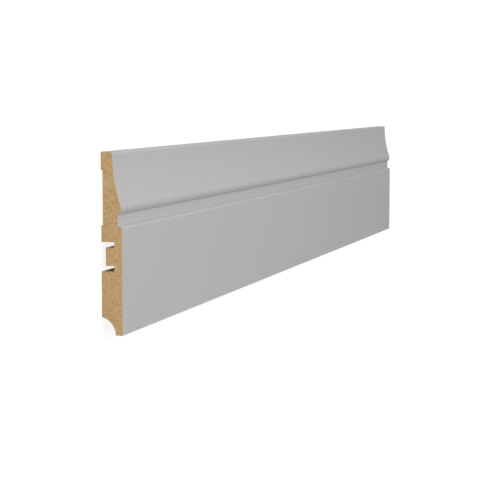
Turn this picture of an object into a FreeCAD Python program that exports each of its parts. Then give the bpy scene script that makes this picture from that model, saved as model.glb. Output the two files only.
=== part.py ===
"""Skirting board length: one piece of moulded MDF stock, lying on its back.

Frame, in millimetres: X runs along the board and Y up its height, from the foot at -Y to the
top edge at +Y. Z is the depth, from the back plane at 0 to the plain front face. The origin is
the middle of the back plane.
"""
import FreeCAD, Part
import math
import os

import Sketcher

# Driving dimensions, in millimetres
SIZES = {
    # the board
    "board_length": (700.0, "between the two sawn ends"),
    "board_height": (100.0, "from the foot to the top edge"),
    "board_thickness": (12.0, "from the back plane to the plain front face"),
    # the moulded upper face, whose depths are measured back from the plain face
    "top_setback": (5.5, "plain face to where the scoop meets the top edge"),
    "arris_radius": (1.5, "rounded front corner of the top edge"),
    "bead_drop": (30.5, "top edge to the middle of the bead"),
    "bead_radius": (4.7, "round of the bead"),
    "bead_setback": (0.5, "plain face to the crest of the bead"),
    "fillet_width": (6.0, "flat band between the bead and the ovolo"),
    "fillet_depth": (2.5, "plain face to that band"),
    "ovolo_step": (0.5, "square step from that band to the ovolo's round"),
    # the cove behind the foot
    "foot_width": (4.0, "sole of the foot, behind the plain face"),
    "cove_radius": (10.0, "hollow behind the foot"),
    # the clip grooves
    "groove_height": (35.0, "foot to the lower groove"),
    "groove_width": (3.0, "each of the two clip grooves"),
    "groove_depth": (7.5, "depth of the clip grooves from the back plane"),
    "tongue_width": (10.0, "tongue left between the two grooves"),
    "tongue_setback": (2.5, "back plane to the tongue"),
    # the relief of the upper back
    "middle_pad": (9.0, "pad between the upper groove and the relief"),
    "top_pad": (10.0, "pad between the relief and the top edge"),
    "relief_depth": (1.0, "depth of the relief from the back plane"),
}

# Sketcher's names for the points of a line or an arc, and for the sketch's origin
START, END, CENTRE = 1, 2, 3
ORIGIN = (-1, 1)


def make_sheet(doc):
    """The spreadsheet that holds every driving dimension."""
    sheet = doc.addObject("Spreadsheet::Sheet", "sizes")
    for row, (alias, (value, meaning)) in enumerate(SIZES.items(), start=1):
        sheet.set(f"A{row}", alias)
        sheet.set(f"B{row}", str(value))
        sheet.set(f"C{row}", meaning)
        sheet.setAlias(f"B{row}", alias)
    doc.recompute()
    return sheet


def section_sketch(body, name):
    """A sketch across the board: its horizontal axis is Y and its vertical axis is Z."""
    plane = next(p for p in body.Origin.OriginFeatures if p.Role == "YZ_Plane")
    sketch = body.newObject("Sketcher::SketchObject", name)
    sketch.AttachmentSupport = [(plane, "")]
    sketch.MapMode = "FlatFace"
    return sketch


def add_line(sketch, start, end):
    """A line between two points of the section, each given as (y, z)."""
    return sketch.addGeometry(Part.LineSegment(FreeCAD.Vector(*start), FreeCAD.Vector(*end)))


def add_arc(sketch, centre, radius, first, last):
    """An arc that runs anticlockwise from the first angle to the last, in degrees."""
    circle = Part.Circle(FreeCAD.Vector(*centre), FreeCAD.Vector(0, 0, 1), radius)
    return sketch.addGeometry(Part.ArcOfCircle(circle, math.radians(first), math.radians(last)))


def bind(sketch, name, constraint, formula):
    """Add a named size to a sketch and tie it to the sheet."""
    index = sketch.addConstraint(constraint)
    sketch.renameConstraint(index, name)
    sketch.setExpression(f"Constraints.{name}", formula)


def join(sketch, *corners):
    """Make the two ends at each corner meet."""
    for first, first_end, second, second_end in corners:
        sketch.addConstraint(Sketcher.Constraint("Coincident", first, first_end, second, second_end))


def draw_outline(body, sheet):
    """The moulded section before the back is worked, drawn anticlockwise from the foot."""
    def size(alias):
        return float(sheet.get(alias))

    # Corners and centres, close enough for the sketch's solver to settle
    top = size("board_height") / 2
    front = size("board_thickness")
    spring = front - size("top_setback")
    arris = size("arris_radius")
    bead = size("bead_radius")
    bead_y = top - size("bead_drop")
    bead_z = front - size("bead_setback") - bead
    band_z = front - size("fillet_depth")
    rise = spring - bead_z
    scoop = (size("bead_drop")**2 + rise**2 - bead**2) / (2 * (bead - rise))
    touch = math.degrees(math.atan2(bead_z - spring - scoop, bead_y - top))
    bead_end = 180 - math.degrees(math.asin((band_z - bead_z) / bead))
    band_top = bead_y + bead * math.cos(math.radians(bead_end))
    band_foot = band_top - size("fillet_width")
    step_top = band_z + size("ovolo_step")
    face_top = band_foot - (front - step_top)

    sketch = section_sketch(body, "moulded_outline")
    back_line = add_line(sketch, (-top, 0), (top, 0))
    top_line = add_line(sketch, (top, 0), (top, spring - arris))
    arris_arc = add_arc(sketch, (top - arris, spring - arris), arris, 0, 90)
    scoop_arc = add_arc(sketch, (top, spring + scoop), scoop, touch, -90)
    bead_arc = add_arc(sketch, (bead_y, bead_z), bead, touch + 180, bead_end)
    band_line = add_line(sketch, (band_top, band_z), (band_foot, band_z))
    step_line = add_line(sketch, (band_foot, band_z), (band_foot, step_top))
    ovolo_arc = add_arc(sketch, (face_top, step_top), front - step_top, 0, 90)
    face_line = add_line(sketch, (face_top, front), (-top, front))
    foot_line = add_line(sketch, (-top, front), (-top, 0))
    spring_line = add_line(sketch, (top, spring + scoop), (top, spring))
    sketch.toggleConstruction(spring_line)

    # How the outline hangs together
    join(sketch,
         (back_line, END, top_line, START),
         (bead_arc, END, band_line, START),
         (band_line, END, step_line, START),
         (face_line, END, foot_line, START),
         (foot_line, END, back_line, START),
         (scoop_arc, CENTRE, spring_line, START))
    for line in (back_line, band_line, face_line):
        sketch.addConstraint(Sketcher.Constraint("Horizontal", line))
    for line in (top_line, step_line, foot_line, spring_line):
        sketch.addConstraint(Sketcher.Constraint("Vertical", line))
    for first, first_end, second, second_end in (
            (top_line, END, arris_arc, START),
            (arris_arc, END, scoop_arc, END),
            (scoop_arc, START, bead_arc, START),
            (step_line, END, ovolo_arc, START),
            (ovolo_arc, END, face_line, START)):
        sketch.addConstraint(Sketcher.Constraint("Tangent", first, first_end, second, second_end))
    sketch.addConstraint(Sketcher.Constraint("Symmetric", back_line, START, back_line, END, *ORIGIN))
    sketch.addConstraint(Sketcher.Constraint("Vertical", scoop_arc, CENTRE, back_line, END))
    sketch.addConstraint(Sketcher.Constraint("PointOnObject", spring_line, END, scoop_arc))

    # Its sizes
    def distance(axis, first, first_end, second, second_end, value):
        return Sketcher.Constraint(f"Distance{axis}", first, first_end, second, second_end, value)

    bind(sketch, "height", distance("X", back_line, START, back_line, END, 2 * top),
         "sizes.board_height")
    bind(sketch, "thickness", distance("Y", foot_line, END, foot_line, START, front),
         "sizes.board_thickness")
    bind(sketch, "springing", distance("Y", spring_line, END, foot_line, START, front - spring),
         "sizes.top_setback")
    bind(sketch, "arris", Sketcher.Constraint("Radius", arris_arc, arris),
         "sizes.arris_radius")
    bind(sketch, "bead_round", Sketcher.Constraint("Radius", bead_arc, bead),
         "sizes.bead_radius")
    bind(sketch, "bead_drop", distance("X", bead_arc, CENTRE, back_line, END, top - bead_y),
         "sizes.bead_drop")
    bind(sketch, "bead_sink", distance("Y", bead_arc, CENTRE, foot_line, START, front - bead_z),
         "sizes.bead_setback + sizes.bead_radius")
    bind(sketch, "band_width", distance("X", band_line, END, band_line, START, band_top - band_foot),
         "sizes.fillet_width")
    bind(sketch, "band_depth", distance("Y", band_line, END, foot_line, START, front - band_z),
         "sizes.fillet_depth")
    bind(sketch, "step_height", distance("Y", step_line, START, step_line, END, step_top - band_z),
         "sizes.ovolo_step")
    return sketch


def pad_blank(body, outline):
    """The moulded blank, as long as the board and centred on its middle."""
    pad = body.newObject("PartDesign::Pad", "moulded_blank")
    pad.Profile = (outline, [""])
    pad.SideType = "Symmetric"
    pad.setExpression("Length", "sizes.board_length")
    return pad


def cut_along(body, sketch, name):
    """A cut of the sketch's shape along the whole board, past both ends."""
    pocket = body.newObject("PartDesign::Pocket", name)
    pocket.Profile = (sketch, [""])
    pocket.SideType = "Symmetric"
    pocket.Type = "ThroughAll"
    return pocket


def cut_cove(body):
    """The hollow behind the foot, whose round starts at the back of the sole."""
    sketch = section_sketch(body, "cove_round")
    circle = sketch.addGeometry(Part.Circle(FreeCAD.Vector(-1, -1, 0), FreeCAD.Vector(0, 0, 1), 1))
    bind(sketch, "round", Sketcher.Constraint("Radius", circle, 1),
         "sizes.cove_radius")
    bind(sketch, "level", Sketcher.Constraint("DistanceX", *ORIGIN, circle, CENTRE, -1),
         "-sizes.board_height / 2")
    bind(sketch, "centre", Sketcher.Constraint("DistanceY", *ORIGIN, circle, CENTRE, -1),
         "sizes.board_thickness - sizes.foot_width - sizes.cove_radius")
    return cut_along(body, sketch, "cove")


def cut_channel(body, name, low_side, width, depth):
    """A square channel along the back: its low side above the foot, its width and its depth."""
    sketch = section_sketch(body, f"{name}_section")
    corners = [(0, 0), (1, 0), (1, 1), (0, 1)]
    back, high, floor, low = [add_line(sketch, corners[side], corners[(side + 1) % 4])
                              for side in range(4)]
    join(sketch, (back, END, high, START), (high, END, floor, START),
         (floor, END, low, START), (low, END, back, START))
    for line in (back, floor):
        sketch.addConstraint(Sketcher.Constraint("Horizontal", line))
    for line in (high, low):
        sketch.addConstraint(Sketcher.Constraint("Vertical", line))
    sketch.addConstraint(Sketcher.Constraint("PointOnObject", back, START, ORIGIN[0]))
    bind(sketch, "low_side", Sketcher.Constraint("DistanceX", *ORIGIN, back, START, 1),
         f"{low_side} - sizes.board_height / 2")
    bind(sketch, "width", Sketcher.Constraint("DistanceX", back, START, back, END, 1), width)
    bind(sketch, "depth", Sketcher.Constraint("DistanceY", high, START, high, END, 1), depth)
    return cut_along(body, sketch, name)


def cut_back(body):
    """The cove, the clip grooves with the tongue between them, and the relief above."""
    second_groove = "sizes.groove_height + sizes.groove_width + sizes.tongue_width"
    relief = f"({second_groove} + sizes.groove_width + sizes.middle_pad)"
    return [
        cut_cove(body),
        cut_channel(body, "lower_groove", "sizes.groove_height",
                    "sizes.groove_width", "sizes.groove_depth"),
        cut_channel(body, "upper_groove", second_groove,
                    "sizes.groove_width", "sizes.groove_depth"),
        cut_channel(body, "tongue_channel", "sizes.groove_height + sizes.groove_width",
                    "sizes.tongue_width", "sizes.tongue_setback"),
        cut_channel(body, "relief", relief,
                    f"sizes.board_height - sizes.top_pad - {relief}", "sizes.relief_depth"),
    ]


def check_model(doc, body, blank, cuts):
    """Stop if an object failed, a sketch is loose, a cut took nothing, or the board isn't one solid."""
    for item in doc.Objects:
        if "Invalid" in item.State or "Error" in item.State:
            raise RuntimeError(f"{item.Name} failed: {item.State}")
        if item.isDerivedFrom("Sketcher::SketchObject") and not item.FullyConstrained:
            raise RuntimeError(f"{item.Name} isn't fully constrained")
    for before, after in zip([blank] + cuts, cuts):
        if after.Shape.Volume >= before.Shape.Volume:
            raise RuntimeError(f"{after.Name} cut nothing")
    if body.Shape.isNull() or not body.Shape.isValid() or len(body.Shape.Solids) != 1:
        raise RuntimeError(f"{body.Label} isn't one valid solid")


doc = FreeCAD.newDocument("skirting_board_length")
sheet = make_sheet(doc)
board = doc.addObject("PartDesign::Body", "skirting_board")
board.Label = "skirting_board"
blank = pad_blank(board, draw_outline(board, sheet))
cuts = cut_back(board)
doc.recompute()
check_model(doc, board, blank, cuts)

os.makedirs("parts", exist_ok=True)
board.Shape.exportStep(f"parts/{board.Label}.step")
box = board.Shape.BoundBox
print(f"{board.Label}: {box.XLength:.3f} x {box.YLength:.3f} x {box.ZLength:.3f} mm,"
      f" {board.Shape.Volume / 1000:.1f} cm3, {len(board.Shape.Faces)} faces")
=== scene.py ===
"""Skirting board length: the finished board, with the studio floor, lamps and camera.

The board lies on its back: X runs along it, Y up its height from the foot, and Z out of its
moulded face. Sizes are in metres. The camera and the lamps are placed for a standing board and
laid down with it.
"""

import math

import bpy
import numpy as np
from mathutils import Euler, Matrix, Vector, geometry, noise


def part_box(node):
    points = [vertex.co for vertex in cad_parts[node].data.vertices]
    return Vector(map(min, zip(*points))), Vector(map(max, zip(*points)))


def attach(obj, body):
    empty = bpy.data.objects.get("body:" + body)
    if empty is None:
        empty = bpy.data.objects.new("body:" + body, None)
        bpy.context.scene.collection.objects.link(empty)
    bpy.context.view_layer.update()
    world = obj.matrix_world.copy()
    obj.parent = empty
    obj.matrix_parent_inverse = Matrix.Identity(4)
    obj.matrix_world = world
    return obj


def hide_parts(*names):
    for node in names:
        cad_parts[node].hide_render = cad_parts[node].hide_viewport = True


bl_info = {
    "name": "Skirting Board Length",
    "version": (1, 0, 0),
    "blender": (4, 5, 0),
    "location": "3D View > Sidebar > Skirting",
    "description": "Builds a moulded skirting board with a grey coat and bare fibreboard ends",
    "category": "Add Mesh",
}

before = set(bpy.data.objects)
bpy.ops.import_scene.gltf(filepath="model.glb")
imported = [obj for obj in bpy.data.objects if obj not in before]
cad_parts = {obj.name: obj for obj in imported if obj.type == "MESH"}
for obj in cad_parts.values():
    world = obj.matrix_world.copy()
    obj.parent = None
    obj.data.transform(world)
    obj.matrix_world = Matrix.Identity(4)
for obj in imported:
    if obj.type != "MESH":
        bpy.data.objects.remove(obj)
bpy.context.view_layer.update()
NODE = "skirting_board"
LOW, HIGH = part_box(NODE)
MM = 0.001

# Finishes of the board's surfaces, in the order of the mesh's material slots
COAT, SANDED, MILLED, SAWN = range(4)


# Sizes and colours that a user would change

def length_property(name, description, default):
    return bpy.props.FloatProperty(name=name, description=description, default=default,
                                   unit="LENGTH", precision=5)


def colour_property(name, description, default):
    return bpy.props.FloatVectorProperty(name=name, description=description, default=default,
                                         subtype="COLOR", size=4, min=0, max=1)


def share_property(name, description, default):
    return bpy.props.FloatProperty(name=name, description=description, default=default,
                                   subtype="FACTOR", min=0, max=1)


def angle_property(name, description, default):
    return bpy.props.FloatProperty(name=name, description=description, default=default,
                                   subtype="ANGLE")


def power_property(name, description, default):
    return bpy.props.FloatProperty(name=name, description=description, default=default,
                                   unit="POWER", min=0)


class BoardSizes(bpy.types.PropertyGroup):
    """The board's section and length"""
    length: length_property("Length", "Between the two sawn ends", HIGH.x - LOW.x)
    height: length_property("Height", "From the foot to the top edge", HIGH.y - LOW.y)
    thickness: length_property("Thickness", "From the back to the plain face", HIGH.z - LOW.z)
    top_setback: length_property("Top setback", "Plain face to the scoop at the top", 5.5 * MM)
    arris_radius: length_property("Arris radius", "Front corner of the top edge", 1.5 * MM)
    bead_drop: length_property("Bead drop", "Top edge to the middle of the bead", 30.5 * MM)
    bead_radius: length_property("Bead radius", "Round of the bead", 4.7 * MM)
    bead_setback: length_property("Bead setback", "Plain face to the bead's crest", 0.5 * MM)
    fillet_width: length_property("Fillet width", "Flat band below the bead", 6.0 * MM)
    fillet_depth: length_property("Fillet depth", "Plain face to the flat band", 2.5 * MM)
    ovolo_step: length_property("Ovolo step", "Square step below the band", 0.5 * MM)
    foot_width: length_property("Foot width", "Sole behind the plain face", 4.0 * MM)
    cove_radius: length_property("Cove radius", "Hollow behind the foot", 10.0 * MM)
    groove_height: length_property("Groove height", "Foot to the lower clip groove", 35.0 * MM)
    groove_width: length_property("Groove width", "Each clip groove", 3.0 * MM)
    groove_depth: length_property("Groove depth", "Clip grooves from the back", 7.5 * MM)
    tongue_width: length_property("Tongue width", "Tongue between the grooves", 10.0 * MM)
    tongue_setback: length_property("Tongue setback", "Back plane to the tongue", 2.5 * MM)
    middle_pad: length_property("Middle pad", "Upper groove to the relief", 9.0 * MM)
    top_pad: length_property("Top pad", "Relief to the top edge", 10.0 * MM)
    relief_depth: length_property("Relief depth", "Relief of the upper back", 1.0 * MM)
    edge_softness: length_property("Edge softness", "Round of the milled edges", 0.12 * MM)
    saw_relief: length_property("Saw relief", "Depth of the saw's marks on the ends", 0.06 * MM)


class BoardFinish(bpy.types.PropertyGroup):
    """Colours of the coat and of the fibreboard"""
    coat_colour: colour_property("Coat", "Matt coat of the moulded face",
                                 (0.50, 0.50, 0.50, 1))
    coat_roughness: share_property("Coat roughness", "Roughness of the coat", 0.68)
    light_fibre: colour_property("Light fibre", "Pale fibres of the board",
                                 (0.618, 0.431, 0.222, 1))
    dark_fibre: colour_property("Dark fibre", "Dark fibres of the board",
                                (0.425, 0.251, 0.101, 1))
    bark_speck: colour_property("Bark speck", "Scattered specks of bark",
                                (0.20, 0.12, 0.05, 1))


class StudioSettings(bpy.types.PropertyGroup):
    """Floor, lamps and camera"""
    floor_colour: colour_property("Floor", "Pale floor", (0.8, 0.8, 0.8, 1))
    floor_reach: length_property("Floor reach", "Half the floor's width", 12.0)
    floor_shadow: share_property("Floor shadow", "How much of the floor's own shade shows", 0.2)
    sky_strength: bpy.props.FloatProperty(name="Sky", description="Even light from all round",
                                          default=0.263, min=0)
    front_power: power_property("Front", "Wide softbox in front of the face", 20.1)
    top_power: power_property("Top", "Softbox above the near end", 6.4)
    end_power: power_property("End", "Softbox facing the near end", 10.5)
    camera_ahead: length_property("Camera ahead", "Near end back to the camera", 0.7579)
    camera_out: length_property("Camera out", "Plain face out to the camera", 0.30569)
    camera_height: length_property("Camera height", "Foot up to the camera", 0.13028)
    camera_heading: angle_property("Camera heading", "Turn in from the board's length",
                                   math.radians(17.49))
    camera_pitch: angle_property("Camera pitch", "Tilt below the level", math.radians(5.46))
    camera_view: angle_property("Camera view", "Width of the view", math.radians(18.0))


# Section of the board

def arc(centre, radius, first, last, finish, step=math.radians(4)):
    """Corners along an arc, from the first angle to the last, each with the finish that follows."""
    count = max(4, math.ceil(abs(last - first) / step))
    angles = np.linspace(first, last, count + 1)
    return [(centre[0] + radius * math.cos(a), centre[1] + radius * math.sin(a), finish)
            for a in angles]


def back_profile(size):
    """The back, from the sole's rear edge up to the top edge, as (y, z, finish)."""
    foot = -size.height / 2
    top = size.height / 2
    cove_z = size.thickness - size.foot_width - size.cove_radius
    cove_end = math.asin(-cove_z / size.cove_radius)
    points = arc((foot, cove_z), size.cove_radius, math.pi / 2, cove_end, MILLED)
    points[-1] = (*points[-1][:2], SANDED)

    low_groove = foot + size.groove_height
    high_groove = low_groove + size.groove_width + size.tongue_width
    tongue = (low_groove + size.groove_width, high_groove)
    relief = high_groove + size.groove_width + size.middle_pad
    points += [
        (low_groove, 0, MILLED),
        (low_groove, size.groove_depth, MILLED),
        (tongue[0], size.groove_depth, MILLED),
        (tongue[0], size.tongue_setback, MILLED),
        (tongue[1], size.tongue_setback, MILLED),
        (tongue[1], size.groove_depth, MILLED),
        (high_groove + size.groove_width, size.groove_depth, MILLED),
        (high_groove + size.groove_width, 0, SANDED),
        (relief, 0, MILLED),
        (relief, size.relief_depth, MILLED),
        (top - size.top_pad, size.relief_depth, MILLED),
        (top - size.top_pad, 0, SANDED),
    ]
    return points


def face_profile(size):
    """The top edge and the moulded face, down to the sole, as (y, z, finish)."""
    foot = -size.height / 2
    top = size.height / 2
    spring = size.thickness - size.top_setback
    bead_y = top - size.bead_drop
    bead_z = size.thickness - size.bead_setback - size.bead_radius
    band_z = size.thickness - size.fillet_depth

    # The scoop springs square from the top edge's plane and runs into the bead without a corner
    rise = spring - bead_z
    scoop = (size.bead_drop**2 + rise**2 - size.bead_radius**2) / (2 * (size.bead_radius - rise))
    touch = math.atan2(bead_z - spring - scoop, -size.bead_drop)
    lean = math.asin(size.arris_radius / (scoop + size.arris_radius))
    arris_z = spring + scoop - (scoop + size.arris_radius) * math.cos(lean)
    bead_end = math.pi - math.asin((band_z - bead_z) / size.bead_radius)
    band_foot = bead_y + size.bead_radius * math.cos(bead_end) - size.fillet_width
    ovolo_z = band_z + size.ovolo_step
    ovolo = size.thickness - ovolo_z

    points = [(top, 0, COAT)]
    points += arc((top - size.arris_radius, arris_z), size.arris_radius,
                  0, math.pi / 2 - lean, COAT, math.radians(9))
    points += arc((top, spring + scoop), scoop, -math.pi / 2 - lean, touch, COAT,
                  math.radians(0.6))[1:]
    points += arc((bead_y, bead_z), size.bead_radius, touch + math.pi, bead_end, COAT)[1:]
    points += [(band_foot, band_z, COAT)]
    points += arc((band_foot - ovolo, ovolo_z), ovolo, 0, math.pi / 2, COAT, math.radians(7))
    points += [(foot, size.thickness, MILLED)]
    return points


# A corner that turns more than this is an edge, and gets a small round
SHARP_CORNER = math.radians(25)


def soften(points, radius):
    """Rounds each sharp outer corner a little, as a milled edge is, and leaves the inner ones."""
    rounded = []
    for place, (y, z, finish) in enumerate(points):
        here = Vector((y, z))
        to_last = Vector(points[place - 1][:2]) - here
        to_next = Vector(points[(place + 1) % len(points)][:2]) - here
        turn = math.pi - to_last.angle(to_next)
        if turn < SHARP_CORNER or to_last.cross(to_next) > 0:
            rounded.append((y, z, finish))
            continue
        cut = min(radius * math.tan(turn / 2), 0.45 * to_last.length, 0.45 * to_next.length)
        first = here + to_last.normalized() * cut
        last = here + to_next.normalized() * cut
        for share in (0, 0.25, 0.5, 0.75, 1):
            spot = first * (1 - share)**2 + here * 2 * share * (1 - share) + last * share**2
            rounded.append((spot.x, spot.y, points[place - 1][2] if share < 0.5 else finish))
    return rounded


def divide(points, longest):
    """Splits the long straight runs, so that the ends' meshes have even triangles."""
    divided = []
    for place, (y, z, finish) in enumerate(points):
        here = Vector((y, z))
        run = Vector(points[(place + 1) % len(points)][:2]) - here
        count = max(1, math.ceil(run.length / longest))
        for step in range(count):
            spot = here + run * step / count
            divided.append((spot.x, spot.y, finish))
    return divided


# The board's mesh

# Between two ridges of the saw, how far they lean, and the size of the torn fibres
SAW_PITCH = 1.9 * MM
SAW_SLANT = 0.35
TORN_FIBRE = 0.9 * MM


def saw_depth(y, z, side, deepest):
    """How deep the saw and the torn fibres cut into a sawn end at one place."""
    ridges = 0.5 + 0.5 * math.sin(math.tau * (y + SAW_SLANT * z) / SAW_PITCH)
    torn = noise.fractal(Vector((y, z, side)) / TORN_FIBRE, 1, 2, 3)
    share = 0.45 + 0.25 * ridges + 0.5 * torn
    return deepest * min(1, max(0, share))


def end_triangles(section, spacing):
    """Inner points of an end and its triangles, whose low numbers are the section's own points."""
    # Inner points stand in staggered rows, for even triangles, clear of the section's edge
    ring = np.array([(y, z) for y, z, _ in section]) / MM
    step = spacing / MM
    ys = np.arange(ring[:, 0].min(), ring[:, 0].max(), step)
    zs = np.arange(ring[:, 1].min(), ring[:, 1].max(), 0.87 * step)
    grid = np.array([(y + (row % 2) * step / 2, z) for row, z in enumerate(zs) for y in ys])
    gaps = np.linalg.norm(grid[:, None, :] - ring[None, :, :], axis=2).min(axis=1)
    inner = grid[gaps > 0.6 * step]

    # No triangle lies outside the section, and the points that none of them uses are left out
    spots = [Vector(spot) for spot in np.vstack([ring, inner])]
    edge_count = len(ring)
    found = geometry.delaunay_2d_cdt(spots, [], [list(range(edge_count))], 1, 1e-6)
    sources = [origins[0] for origins in found[3]]
    triangles = [[sources[corner] for corner in triangle] for triangle in found[2]]
    used = sorted({corner for triangle in triangles for corner in triangle if corner >= edge_count})
    renumber = {corner: edge_count + place for place, corner in enumerate(used)}
    triangles = [[renumber.get(corner, corner) for corner in triangle] for triangle in triangles]
    return [spots[corner] * MM for corner in used], triangles


def board_stations(length):
    """Places along the board: close together at the sawn ends, wide apart between them."""
    near = [0, 0.3 * MM, 1 * MM, 3 * MM, 10 * MM]
    middle = np.linspace(25 * MM, length - 25 * MM, 27)
    far = [length - place for place in reversed(near)]
    return [place - length / 2 for place in (*near, *middle, *far)]


# Longest straight run of the section, and the spacing of the points inside the ends
LONGEST_RUN = 0.8 * MM
END_SPACING = 0.7 * MM


def board_mesh(size):
    """The whole board: its skin along the length and its two sawn ends."""
    section = soften(back_profile(size) + face_profile(size), size.edge_softness)
    section = divide(section, LONGEST_RUN)
    count = len(section)
    stations = board_stations(size.length)
    last = len(stations) - 1
    verts, faces, slots = [], [], []
    inward = {0: 1, last: -1}
    for place, x in enumerate(stations):
        end = inward.get(place, 0)
        verts += [(x + end * saw_depth(y, z, end, size.saw_relief), y, z) for y, z, _ in section]
    for place in range(last):
        for corner in range(count):
            beside = (corner + 1) % count
            low, high = place * count, (place + 1) * count
            faces.append((low + corner, low + beside, high + beside, high + corner))
            slots.append(section[corner][2])
    inner, triangles = end_triangles(section, END_SPACING)
    for place, end in inward.items():
        numbers = [place * count + corner for corner in range(count)]
        numbers += range(len(verts), len(verts) + len(inner))
        x = stations[place]
        verts += [(x + end * saw_depth(*spot, end, size.saw_relief), *spot) for spot in inner]
        for triangle in triangles:
            faces.append([numbers[corner] for corner in triangle[::-end]])
            slots.append(SAWN)
    mesh = bpy.data.meshes.new("moulded_board")
    mesh.from_pydata(verts, [], faces)
    mesh.polygons.foreach_set("material_index", slots)
    mesh.polygons.foreach_set("use_smooth", [True] * len(faces))
    mesh.update()
    mesh.set_sharp_from_angle(angle=math.radians(40))
    return mesh


# Materials

class Tree:
    """Adds nodes to a material or a node group, and links them as they are added."""

    def __init__(self, nodes):
        self.nodes = nodes.nodes
        self.links = nodes.links

    def add(self, kind, settings=None, **inputs):
        """A node with its settings and inputs, each a plain value or another node's output."""
        node = self.nodes.new(kind)
        for name, value in (settings or {}).items():
            setattr(node, name, value)
        for name, value in inputs.items():
            self.feed(node.inputs[name.replace("_", " ")], value)
        return node

    def feed(self, socket, value):
        if isinstance(value, bpy.types.NodeSocket):
            self.links.new(value, socket)
        else:
            socket.default_value = value

    def math(self, operation, *values, clamp=False):
        node = self.nodes.new("ShaderNodeMath")
        node.operation = operation
        node.use_clamp = clamp
        for socket, value in zip(node.inputs, values):
            self.feed(socket, value)
        return node.outputs[0]

    def blend_sum(self, parts):
        """The sum of values, each times its share."""
        total = 0.0
        for share, value in parts:
            total = self.math("MULTIPLY_ADD", value, share, total)
        return total

    def scaled(self, vector, scale):
        """The vector stretched along its axes."""
        node = self.add("ShaderNodeVectorMath", {"operation": "MULTIPLY"})
        self.feed(node.inputs[0], vector)
        self.feed(node.inputs[1], scale)
        return node.outputs[0]

    def range(self, value, low, high, new_low=0.0, new_high=1.0):
        """The value moved from one range to another, and held inside it."""
        return self.add("ShaderNodeMapRange", Value=value, From_Min=low, From_Max=high,
                        To_Min=new_low, To_Max=new_high).outputs[0]

    def mix(self, share, first, second):
        """A blend of two colours."""
        node = self.add("ShaderNodeMix", {"data_type": "RGBA"})
        self.feed(node.inputs["Factor"], share)
        self.feed(node.inputs[6], first)
        self.feed(node.inputs[7], second)
        return node.outputs[2]

    def noise(self, vector, size, detail=2.0, roughness=0.5):
        """Noise whose lumps are about the given size, in metres."""
        return self.add("ShaderNodeTexNoise", Vector=vector, Scale=1 / size, Detail=detail,
                        Roughness=roughness).outputs["Fac"]


def new_group(name, inputs, outputs):
    """An empty shader node group with named sockets: its tree and its two ends."""
    group = bpy.data.node_groups.new(name, "ShaderNodeTree")
    for label, kind, default in inputs:
        socket = group.interface.new_socket(label, in_out="INPUT", socket_type=kind)
        socket.default_value = default
    for label, kind in outputs:
        group.interface.new_socket(label, in_out="OUTPUT", socket_type=kind)
    tree = Tree(group)
    return group, tree, tree.add("NodeGroupInput").outputs, tree.add("NodeGroupOutput").inputs


# How far the fibres bend, how flat they lie along X, Y and Z, and the share of cells with a speck
FIBRE_WANDER = (0.8 * MM, 0.8 * MM, 0.8 * MM)
FIBRE_FLATNESS = (0.75, 0.75, 1.2)
SPECK_SHARE = 0.7


def bent_fibres(tree, place):
    """The place in the fibres, which lie flat in the board, torn and bent by the pressing."""
    wander = tree.add("ShaderNodeTexNoise", Vector=place, Scale=1 / (0.6 * MM), Detail=2.0)
    bent = tree.add("ShaderNodeVectorMath", {"operation": "MULTIPLY_ADD"})
    tree.feed(bent.inputs[0], wander.outputs["Color"])
    tree.feed(bent.inputs[1], FIBRE_WANDER)
    tree.feed(bent.inputs[2], tree.scaled(place, FIBRE_FLATNESS))
    return bent.outputs[0]


def mottled_fibres(tree, place, bent, streaked):
    """Clouds, tufts, bundles and streaks of fibres as one value, a half on average."""
    clouds = tree.noise(place, 3.4 * MM, 5, 0.6)
    tufts = tree.noise(place, 1.6 * MM, 6, 0.65)
    cells = tree.add("ShaderNodeTexVoronoi", Vector=bent, Scale=1 / (0.35 * MM))
    bundles = tree.add("ShaderNodeSeparateColor", Color=cells.outputs["Color"]).outputs["Red"]
    streaks = tree.noise(streaked, 0.9 * MM, 5, 0.6)
    return tree.blend_sum([(0.17, clouds), (0.40, tufts), (0.13, bundles), (0.30, streaks)])


def drifting_colour(tree, place, colour):
    """The colour, whose hue and red drift a little from place to place."""
    hue = tree.range(tree.noise(place, 3.5 * MM, 4, 0.7), 0.3, 0.7, 0.485, 0.515)
    turned = tree.add("ShaderNodeHueSaturation", Hue=hue, Color=colour).outputs[0]
    red = tree.range(tree.noise(place, 2.5 * MM, 4, 0.7), 0.3, 0.7, 0.935, 1.065)
    tint = tree.add("ShaderNodeCombineXYZ", X=red, Y=1.0, Z=1.0).outputs[0]
    return tree.scaled(turned, tint)


def bark_specks(tree, bent):
    """Masks of the specks among the fibres: where they lie, and how dark each one is."""
    cells = tree.add("ShaderNodeTexVoronoi", Vector=bent, Scale=1 / (1.6 * MM))
    chance = tree.add("ShaderNodeSeparateColor", Color=cells.outputs["Color"]).outputs
    edge = tree.range(chance["Green"], 0, 1, 0.08, 0.26)
    spot = tree.range(cells.outputs["Distance"], tree.math("MULTIPLY", edge, 0.5), edge, 1, 0)
    spot = tree.math("MULTIPLY", spot, tree.math("LESS_THAN", chance["Red"], SPECK_SHARE))
    return spot, tree.math("MULTIPLY", spot, tree.range(chance["Blue"], 0, 1, 0.25, 0.75))


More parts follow.
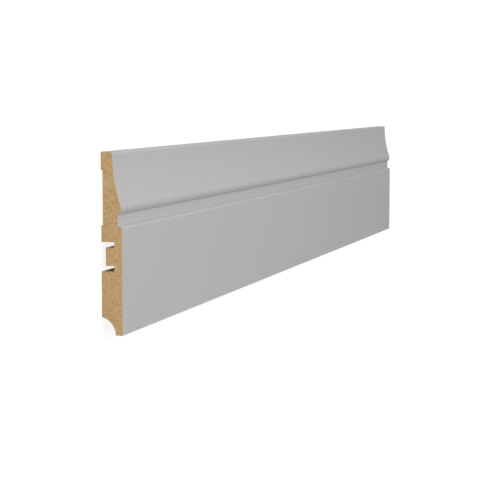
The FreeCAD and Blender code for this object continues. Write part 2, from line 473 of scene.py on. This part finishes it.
def fibre_group():
    """Fibreboard: mottled fibres, cutter streaks and scattered specks, as a colour and a height."""
    group, tree, given, result = new_group(
        "fibreboard",
        [("Vector", "NodeSocketVector", (0, 0, 0)),
         ("Streak Vector", "NodeSocketVector", (0, 0, 0)),
         ("Light", "NodeSocketColor", (0.6, 0.4, 0.2, 1)),
         ("Dark", "NodeSocketColor", (0.3, 0.2, 0.1, 1)),
         ("Speck", "NodeSocketColor", (0.2, 0.1, 0.05, 1)),
         ("Contrast", "NodeSocketFloat", 1.0)],
        [("Color", "NodeSocketColor"), ("Height", "NodeSocketFloat")])
    place = given["Vector"]
    bent = bent_fibres(tree, place)
    mottle = mottled_fibres(tree, place, bent, given["Streak Vector"])
    share = tree.math("MULTIPLY", tree.math("SUBTRACT", mottle, 0.5),
                      tree.math("MULTIPLY", given["Contrast"], 3.6))
    share = tree.math("ADD", share, 0.5, clamp=True)
    colour = drifting_colour(tree, place, tree.mix(share, given["Dark"], given["Light"]))
    spot, dark = bark_specks(tree, bent)
    tree.feed(result["Color"], tree.mix(dark, colour, given["Speck"]))
    tree.feed(result["Height"], tree.math("SUBTRACT", mottle, tree.math("MULTIPLY", spot, 0.2)))
    return group


# How far the ripples sway along the board
MARK_SWAY = 0.8 * MM


def tool_mark_group():
    """Faint ripples across the run of a moulding, as its cutter leaves them."""
    group, tree, given, result = new_group(
        "tool_marks",
        [("Vector", "NodeSocketVector", (0, 0, 0)), ("Pitch", "NodeSocketFloat", 1.5 * MM)],
        [("Height", "NodeSocketFloat"), ("Patch", "NodeSocketFloat")])
    along = tree.add("ShaderNodeSeparateXYZ", Vector=given["Vector"]).outputs["X"]
    sway = tree.math("MULTIPLY", tree.noise(given["Vector"], 9 * MM), MARK_SWAY)
    turns = tree.math("DIVIDE", tree.math("ADD", along, sway), given["Pitch"])
    ripple = tree.math("SINE", tree.math("MULTIPLY", turns, math.tau))
    patch = tree.range(tree.noise(given["Vector"], 30 * MM, 3), 0.35, 0.7)
    tree.feed(result["Height"], tree.math("MULTIPLY", ripple, patch))
    tree.feed(result["Patch"], patch)
    return group


def new_material(name):
    """A material with a Principled shader: the material, its tree, its shader and object space."""
    material = bpy.data.materials.new(name)
    material.use_nodes = True
    tree = Tree(material.node_tree)
    shader = tree.nodes["Principled BSDF"]
    place = tree.add("ShaderNodeTexCoord").outputs["Object"]
    return material, tree, shader, place


def bump(tree, shader, height, distance, strength=1.0):
    node = tree.add("ShaderNodeBump", Height=height, Distance=distance, Strength=strength)
    tree.feed(shader.inputs["Normal"], node.outputs[0])


# Gloss of a dull surface, and how far from the sawn ends the coat is chipped
DULL_SPECULAR = 0.25
CHIP_REACH = 0.4 * MM


def coat_material(finish, fibres, marks, half_length):
    """Matt grey coat: a fine peel over the cutter's ripples, and tiny chips along the sawn ends."""
    material, tree, shader, place = new_material("grey_coat")
    peel = tree.noise(place, 0.7 * MM, 2)
    cloud = tree.noise(place, 26 * MM, 3, 0.6)
    tone = tree.range(cloud, 0.3, 0.7, 0.993, 1.007)
    colour = tree.add("ShaderNodeHueSaturation", Value=tone, Color=finish.coat_colour).outputs[0]
    along = tree.math("ABSOLUTE", tree.add("ShaderNodeSeparateXYZ", Vector=place).outputs["X"])
    near_cut = tree.range(along, half_length - CHIP_REACH, half_length, 0, 0.5)
    crumbs = tree.noise(place, 0.5 * MM, 3)
    chipped = tree.math("GREATER_THAN", tree.math("ADD", crumbs, near_cut), 1)
    board = tree.add("ShaderNodeGroup", {"node_tree": fibres}, Vector=place,
                     Light=finish.light_fibre, Dark=finish.dark_fibre, Speck=finish.bark_speck)
    tree.feed(shader.inputs["Base Color"], tree.mix(chipped, colour, board.outputs["Color"]))
    rough = tree.math("ADD", tree.range(cloud, 0.3, 0.7, -0.03, 0.03),
                      tree.math("MULTIPLY", tree.math("SUBTRACT", peel, 0.5), 0.06))
    tree.feed(shader.inputs["Roughness"], tree.math("ADD", rough, finish.coat_roughness))
    ripples = tree.add("ShaderNodeGroup", {"node_tree": marks}, Vector=place, Pitch=1.4 * MM)
    height = tree.math("ADD", peel, tree.math("MULTIPLY", ripples.outputs["Height"], 0.15))
    height = tree.math("SUBTRACT", height, tree.math("MULTIPLY", chipped, 3.0))
    shader.inputs["Specular IOR Level"].default_value = DULL_SPECULAR
    bump(tree, shader, height, 0.02 * MM, 0.3)
    return material


def fibre_material(name, finish, fibres, marks, contrast, shade, depth, ripple, streak):
    """Bare fibreboard, whose tool marks, contrast and shade differ from surface to surface."""
    material, tree, shader, place = new_material(name)
    board = tree.add("ShaderNodeGroup", {"node_tree": fibres}, Vector=place, Contrast=contrast,
                     Streak_Vector=tree.scaled(place, streak),
                     Light=finish.light_fibre, Dark=finish.dark_fibre, Speck=finish.bark_speck)
    ripples = tree.add("ShaderNodeGroup", {"node_tree": marks}, Vector=place, Pitch=1.8 * MM)
    tone = tree.range(ripples.outputs["Patch"], 0, 1, shade * 0.96, shade)
    toned = tree.add("ShaderNodeHueSaturation", Value=tone, Color=board.outputs["Color"])
    tree.feed(shader.inputs["Base Color"], toned.outputs[0])
    rough = tree.range(board.outputs["Height"], 0.3, 0.7, 0.92, 0.78)
    tree.feed(shader.inputs["Roughness"], rough)
    shader.inputs["Specular IOR Level"].default_value = DULL_SPECULAR
    height = tree.math("ADD", board.outputs["Height"],
                       tree.math("MULTIPLY", ripples.outputs["Height"], ripple))
    bump(tree, shader, height, depth)
    return material


def board_materials(finish, half_length):
    """The four finishes, in the order of the mesh's slots."""
    fibres = fibre_group()
    marks = tool_mark_group()
    along = (0.08, 1, 1)
    across = (1, 1, 0.15)
    return [
        coat_material(finish, fibres, marks, half_length),
        fibre_material("sanded_fibreboard", finish, fibres, marks, contrast=0.7, shade=0.97,
                       depth=0.05 * MM, ripple=0.05, streak=along),
        fibre_material("milled_fibreboard", finish, fibres, marks, contrast=1.0, shade=0.98,
                       depth=0.12 * MM, ripple=0.25, streak=along),
        fibre_material("sawn_fibreboard", finish, fibres, marks, contrast=1.0, shade=1.0,
                       depth=0.12 * MM, ripple=0.0, streak=across),
    ]


class BOARD_OT_build(bpy.types.Operator):
    """Build the finished board over its fixed frame"""
    bl_idname = "skirting.build_board"
    bl_label = "Build Board"

    def execute(self, context):
        size = context.scene.skirting_sizes
        mesh = board_mesh(size)
        for material in board_materials(context.scene.skirting_finish, size.length / 2):
            mesh.materials.append(material)
        board = bpy.data.objects.new("moulded_board", mesh)
        context.scene.collection.objects.link(board)
        weighted = board.modifiers.new("even_normals", "WEIGHTED_NORMAL")
        weighted.keep_sharp = True
        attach(board, "root")
        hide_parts(NODE)
        return {"FINISHED"}


# The studio

def lay_down(size):
    """From a board that stands with its face at y = 0 and its foot at z = 0 to the lying one."""
    shift = Matrix.Translation((0, -size.height / 2, size.thickness))
    return shift @ Matrix.Rotation(math.radians(-90), 4, "X")


# Between the board's back and the floor, so that the two faces don't share a plane
FLOOR_GAP = 0.1 * MM


def add_floor(studio):
    """A pale floor that stays white to the camera, apart from the board's soft shadow."""
    material, tree, shader, place = new_material("studio_floor")
    seen = tree.add("ShaderNodeLightPath").outputs
    shown = tree.math("MAXIMUM", seen["Is Camera Ray"],
                      tree.math("MAXIMUM", seen["Is Glossy Ray"], seen["Is Transmission Ray"]))
    shade = [studio.floor_shadow] * 3 + [1]
    colour = tree.mix(shown, studio.floor_colour, shade)
    grain = tree.noise(place, 3 * MM, 2)
    tree.feed(shader.inputs["Base Color"], colour)
    tree.feed(shader.inputs["Roughness"], tree.range(grain, 0.3, 0.7, 0.85, 0.95))
    shader.inputs["Specular IOR Level"].default_value = 0
    # Far from the board the lamps reach the floor less, and its glow makes up for that
    away = tree.add("ShaderNodeVectorMath", {"operation": "LENGTH"})
    tree.feed(away.inputs[0], place)
    glow = tree.range(away.outputs["Value"], 0.3, 1.5, 1.02 - 0.75 * studio.floor_shadow, 1.0)
    glow = tree.math("MULTIPLY", shown, glow)
    emission = tree.add("ShaderNodeEmission", Strength=glow)
    total = tree.add("ShaderNodeAddShader")
    tree.feed(total.inputs[0], shader.outputs[0])
    tree.feed(total.inputs[1], emission.outputs[0])
    tree.feed(tree.nodes["Material Output"].inputs["Surface"], total.outputs[0])

    reach = studio.floor_reach
    turns = ((-1, -1), (1, -1), (1, 1), (-1, 1))
    corners = [(reach * x, reach * y, -FLOOR_GAP) for x, y in turns]
    mesh = bpy.data.meshes.new("studio_floor")
    mesh.from_pydata(corners, [], [(0, 1, 2, 3)])
    mesh.materials.append(material)
    floor = bpy.data.objects.new("studio_floor", mesh)
    bpy.context.scene.collection.objects.link(floor)


def add_sky(studio):
    """Even light from all round, which the camera sees as white."""
    world = bpy.data.worlds.new("studio_sky")
    bpy.context.scene.world = world
    world.use_nodes = True
    tree = Tree(world.node_tree)
    seen = tree.add("ShaderNodeLightPath").outputs["Is Camera Ray"]
    strength = tree.math("ADD", tree.math("MULTIPLY", seen, 1 - studio.sky_strength),
                         studio.sky_strength)
    background = tree.nodes["Background"]
    background.inputs["Color"].default_value = (1, 1, 1, 1)
    tree.feed(background.inputs["Strength"], strength)


def add_softbox(name, power, laid, width, place, target):
    """A square softbox, placed and aimed round the standing board and laid down with it."""
    light = bpy.data.lights.new(name, "AREA")
    light.energy = power
    light.size = width
    lamp = bpy.data.objects.new(name, light)
    bpy.context.scene.collection.objects.link(lamp)
    aim = (Vector(target) - Vector(place)).to_track_quat("-Z", "Y").to_matrix().to_4x4()
    lamp.matrix_world = laid @ Matrix.Translation(place) @ aim


def add_camera(studio, size, laid):
    """The camera that looks along the standing board from in front of its near end."""
    data = bpy.data.cameras.new("studio_camera")
    data.angle = studio.camera_view
    data.clip_start = 0.01
    camera = bpy.data.objects.new("studio_camera", data)
    bpy.context.scene.collection.objects.link(camera)
    place = (-size.length / 2 - studio.camera_ahead, -studio.camera_out, studio.camera_height)
    turn = Euler((math.pi / 2 - studio.camera_pitch, 0, studio.camera_heading - math.pi / 2))
    camera.matrix_world = laid @ Matrix.Translation(place) @ turn.to_matrix().to_4x4()
    bpy.context.scene.camera = camera


class STUDIO_OT_build(bpy.types.Operator):
    """Build the floor, the lamps and the camera"""
    bl_idname = "skirting.build_studio"
    bl_label = "Build Studio"

    def execute(self, context):
        studio = context.scene.skirting_studio
        size = context.scene.skirting_sizes
        laid = lay_down(size)
        add_floor(studio)
        add_sky(studio)
        add_softbox("front_softbox", studio.front_power, laid, width=1.6,
                    place=(-0.4, -1.7, 0.5), target=(-0.1, 0, 0))
        add_softbox("top_softbox", studio.top_power, laid, width=1.0,
                    place=(-0.9, -0.5, 1.5), target=(-0.2, 0, 0))
        add_softbox("end_softbox", studio.end_power, laid, width=1.0,
                    place=(-2.0, -0.5, 0.3), target=(-0.3, 0, 0))
        add_camera(studio, size, laid)
        context.scene.view_settings.view_transform = "Standard"
        return {"FINISHED"}


# The add-on

class BOARD_PT_panel(bpy.types.Panel):
    """Sizes, colours and lights of the skirting board"""
    bl_idname = "BOARD_PT_panel"
    bl_label = "Skirting Board Length"
    bl_space_type = "VIEW_3D"
    bl_region_type = "UI"
    bl_category = "Skirting"

    def draw(self, context):
        for name, operator in (("skirting_sizes", BOARD_OT_build),
                               ("skirting_finish", BOARD_OT_build),
                               ("skirting_studio", STUDIO_OT_build)):
            box = self.layout.box()
            group = getattr(context.scene, name)
            for item in group.bl_rna.properties:
                if item.identifier not in ("rna_type", "name"):
                    box.prop(group, item.identifier)
            box.operator(operator.bl_idname)


GROUPS = {"skirting_sizes": BoardSizes, "skirting_finish": BoardFinish,
          "skirting_studio": StudioSettings}
CLASSES = (*GROUPS.values(), BOARD_OT_build, STUDIO_OT_build, BOARD_PT_panel)


def register():
    for item in CLASSES:
        bpy.utils.register_class(item)
    for name, group in GROUPS.items():
        setattr(bpy.types.Scene, name, bpy.props.PointerProperty(type=group))


def unregister():
    for name in GROUPS:
        delattr(bpy.types.Scene, name)
    for item in reversed(CLASSES):
        bpy.utils.unregister_class(item)


def main():
    register()
    bpy.ops.skirting.build_board()
    bpy.ops.skirting.build_studio()


if __name__ == "__main__":
    main()
